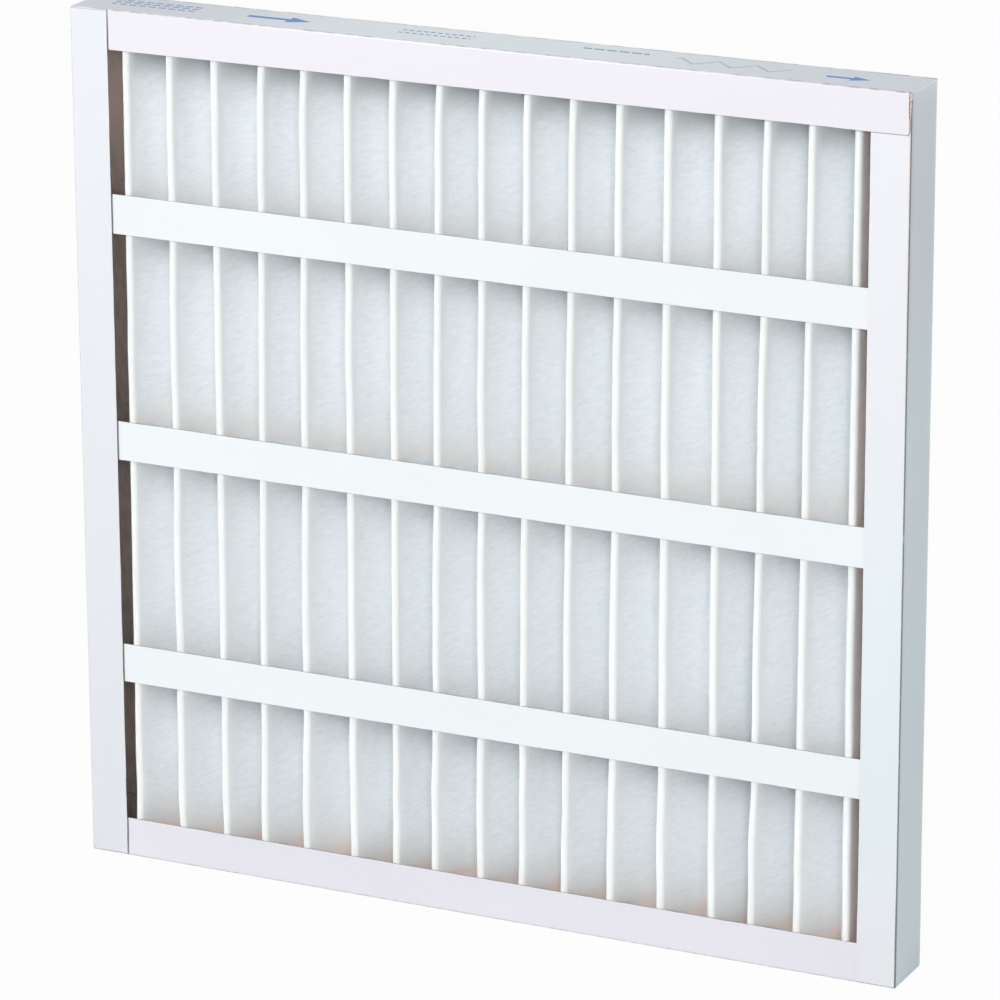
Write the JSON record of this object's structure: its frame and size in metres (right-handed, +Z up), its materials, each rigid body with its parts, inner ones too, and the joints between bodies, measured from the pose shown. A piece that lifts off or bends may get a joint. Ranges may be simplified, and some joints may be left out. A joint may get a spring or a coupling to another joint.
{
  "type": "pleated panel air filter",
  "caption": "Square panel air filter: pleated nonwoven media on a wire grid, held in a folded board frame with board straps across both faces.",
  "frame": {"origin": "under the middle of the panel, on the surface that its lower edge stands on", "axes": "+Z up along the pleats, +X to the right along the panel seen from the upstream face, +Y through the depth towards the downstream face"},
  "size_m": [0.594, 0.0446, 0.594],
  "materials": {
    "frame_board": "coated paperboard, white outside and brown kraft inside, satin",
    "strap_board": "coated paperboard, satin",
    "nonwoven_media": "matt nonwoven fibre sheet",
    "grid_wire": "galvanised wire"
  },
  "bodies": {
    "root": {"frame_board": "frame_board", "front_strap_1": "strap_board", "front_strap_2": "strap_board", "front_strap_3": "strap_board", "back_strap_1": "strap_board", "back_strap_2": "strap_board", "back_strap_3": "strap_board", "pleated_media": "nonwoven_media", "support_grid": "grid_wire"}
  },
  "joints": []
}
